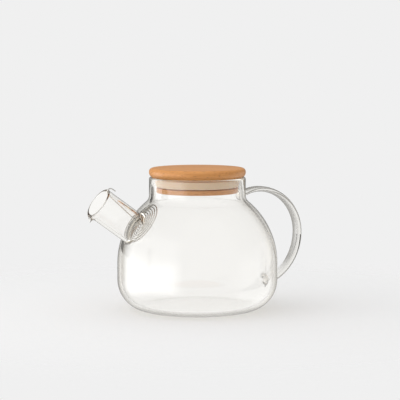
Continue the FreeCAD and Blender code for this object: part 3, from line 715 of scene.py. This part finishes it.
def between(tree, value, low, high, soft):
    """Soft-edged mask that is 1 where a value lies between two others."""
    middle, half = (low + high) / 2, (high - low) / 2
    off = add_node(tree, "ShaderNodeMath", {0: value, 1: middle}, operation="SUBTRACT")
    far = add_node(tree, "ShaderNodeMath", {0: off.outputs["Value"]}, operation="ABSOLUTE")
    return add_node(tree, "ShaderNodeMapRange", {
        "Value": far.outputs["Value"], "From Min": half - soft, "From Max": half + soft,
        "To Min": 1.0, "To Max": 0.0}, interpolation_type="SMOOTHSTEP").outputs["Result"]


def studio_directions(tree):
    """Parts of a world direction: X towards the camera, Y to its right and Z up."""
    towards = add_node(tree, "ShaderNodeTexCoord").outputs["Generated"]
    turned = add_node(tree, "ShaderNodeMapping", {
        "Vector": towards, "Rotation": (0, 0, math.pi / 2 - VIEW_AZIMUTH)})
    return add_node(tree, "ShaderNodeSeparateXYZ", {"Vector": turned.outputs["Vector"]}).outputs


def studio_gloss(tree, parts):
    """What gloss mirrors: grey walls, a soft box left, brightest low down, pale front, right and floor."""
    walls = 0.3
    side_soft, rise_soft = math.radians(13), math.radians(12)
    panels = [   # degrees round from the camera, degrees of rise, and how much brighter than the walls
        ((-122, -29), (-24, 4), 4.2),
        ((-122, -29), (4, 36), 1.2),
        ((-29, 62), (-16, 75), 0.3),
        ((62, 140), (-45, 8), 1.0),
        ((-200, 200), (-100, -22), 0.6),
    ]
    azimuth = add_node(tree, "ShaderNodeMath", {0: parts["Y"], 1: parts["X"]}, operation="ARCTAN2")
    rise = add_node(tree, "ShaderNodeMath", {0: parts["Z"]}, operation="ARCSINE")
    total = walls
    for azimuths, rises, brighter in panels:
        beside = between(tree, azimuth.outputs["Value"], *(math.radians(a) for a in azimuths), side_soft)
        above = between(tree, rise.outputs["Value"], *(math.radians(a) for a in rises), rise_soft)
        panel = add_node(tree, "ShaderNodeMath", {0: beside, 1: above}, operation="MULTIPLY")
        total = add_node(tree, "ShaderNodeMath", {0: panel.outputs["Value"], 1: brighter, 2: total},
                         operation="MULTIPLY_ADD").outputs["Value"]
    return total


def set_world():
    """Soft light from above and left. Seen straight it is the pale background, through glass nearly white,
    and in gloss the studio.
    """
    level_light, overhead_light, left_light = 0.46, 1.15, 0.25
    world = bpy.data.worlds.new("studio")
    bpy.context.scene.world = world
    world.use_nodes = True
    tree = world.node_tree
    tree.nodes.clear()
    path = add_node(tree, "ShaderNodeLightPath").outputs
    shown = add_node(tree, "ShaderNodeBackground", {"Color": linear(BACKGROUND), "Strength": 1.0})
    through = add_node(tree, "ShaderNodeBackground", {"Color": linear("#FCFBF8"), "Strength": 1.0})
    parts = studio_directions(tree)
    mirrored = add_node(tree, "ShaderNodeBackground", {
        "Color": linear("#FFFFFF"), "Strength": studio_gloss(tree, parts)})
    overhead = add_node(tree, "ShaderNodeMapRange", {
        "Value": parts["Z"], "To Min": level_light, "To Max": overhead_light})
    sided = add_node(tree, "ShaderNodeMath", {
        0: parts["Y"], 1: -left_light, 2: overhead.outputs["Result"]}, operation="MULTIPLY_ADD")
    fill = add_node(tree, "ShaderNodeBackground", {
        "Color": linear("#FFFFFF"), "Strength": sided.outputs["Value"]})
    glossy = add_node(tree, "ShaderNodeMixShader", {
        "Fac": path["Is Glossy Ray"], 1: fill.outputs["Background"], 2: mirrored.outputs["Background"]})
    bent = add_node(tree, "ShaderNodeMixShader", {
        "Fac": path["Is Transmission Ray"], 1: glossy.outputs["Shader"], 2: through.outputs["Background"]})
    seen = add_node(tree, "ShaderNodeMixShader", {
        "Fac": path["Is Camera Ray"], 1: bent.outputs["Shader"], 2: shown.outputs["Background"]})
    add_node(tree, "ShaderNodeOutputWorld", {"Surface": seen.outputs["Shader"]})


def lay_floor():
    """Pale floor just under the base that fades into the background and is left out of gloss and glass."""
    solid, gone = 0.13, 0.36
    object_mode()
    bpy.ops.mesh.primitive_circle_add(vertices=96, radius=gone, fill_type="NGON", location=(0, 0, -NEAR))
    floor = bpy.context.object
    floor.name = "studio_floor"
    material, tree = new_material("studio_floor_matt")
    place = add_node(tree, "ShaderNodeTexCoord").outputs["Object"]
    from_pot = add_node(tree, "ShaderNodeVectorMath", {0: place}, operation="LENGTH")
    fade = add_node(tree, "ShaderNodeMapRange", {
        "Value": from_pot.outputs["Value"], "From Min": solid, "From Max": gone},
        interpolation_type="SMOOTHSTEP")
    path = add_node(tree, "ShaderNodeLightPath").outputs
    mirrored = add_node(tree, "ShaderNodeMath", {
        0: path["Is Glossy Ray"], 1: path["Is Transmission Ray"]}, operation="MAXIMUM")
    left_out = add_node(tree, "ShaderNodeMath", {
        0: mirrored.outputs["Value"], 1: fade.outputs["Result"]}, operation="MAXIMUM")
    matt = add_node(tree, "ShaderNodeBsdfDiffuse", {"Color": linear("#E7E7E7")})
    clear = add_node(tree, "ShaderNodeBsdfTransparent")
    mixed = add_node(tree, "ShaderNodeMixShader", {
        "Fac": left_out.outputs["Value"], 1: matt.outputs["BSDF"], 2: clear.outputs["BSDF"]})
    add_node(tree, "ShaderNodeOutputMaterial", {"Surface": mixed.outputs["Shader"]})
    floor.data.materials.append(material)


def hang_flag(name, across, back, low, high):
    """Dark card behind the pot, upright across the view, that only light bent by glass meets."""
    view = -direction(VIEW_AZIMUTH, 0)
    right = view.cross(Z_AXIS)
    middle = view * back + right * sum(across) / 2 + Z_AXIS * (low + high) / 2
    object_mode()
    bpy.ops.mesh.primitive_plane_add(size=1, location=middle,
                                     rotation=view.to_track_quat("Z", "Y").to_euler())
    flag = bpy.context.object
    flag.name = name
    flag.scale = (across[1] - across[0], high - low, 1)
    flag.visible_camera = flag.visible_diffuse = flag.visible_glossy = flag.visible_shadow = False
    material, tree = new_material("studio_flag_black")
    cloth = add_node(tree, "ShaderNodeBsdfDiffuse", {"Color": linear("#1B1A18")})
    add_node(tree, "ShaderNodeOutputMaterial", {"Surface": cloth.outputs["BSDF"]})
    flag.data.materials.append(material)


# The pieces, their finishes and what carries them

def dress(piece, material, body, slot, *nodes):
    """Gives a piece its finish, hangs it on the empty of the body that carries it and hides the CAD nodes it
    stands for.
    """
    piece.data.materials.clear()
    piece.data.materials.append(material)
    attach(piece, body)
    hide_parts(*nodes)


pot = blow_pot()
punch_hole(pot)
spout = draw_spout()
pull_beak(spout)
press_on(spout, pot, SPOUT_WELD, lambda place: along_spout(place)[1].length > SPOUT_RADIUS - SPOUT_WALL / 2)
handle = pull_handle()
press_on(handle, pot, STRAP_WELD, lambda place: True)
weld(pot, spout, handle)
dress(pot, borosilicate_glass(), "pot", "borosilicate_glass", "glass_body", "glass_spout", "glass_handle")
dress(turn_lid(), laminated_bamboo(), "lid", "bamboo", "bamboo_lid")
dress(mould_seal(), cast_silicone(), "seal", "silicone", "silicone_seal")
dress(wind_strainer(), stainless_wire(), "strainer", "steel_wire", "spring_strainer")

set_camera()
set_world()
lay_floor()
hang_flag("left_flag", across=(-0.5, -0.14), back=0.2, low=0.044, high=0.40)
soft_light("key_soft_box", azimuth=-95, elevation=50, distance=1.4, size=1.2, power=5.5)
soft_light("fill_soft_box", azimuth=20, elevation=20, distance=1.6, size=1.2, power=0.9)

bpy.context.scene.view_settings.view_transform = "Standard"
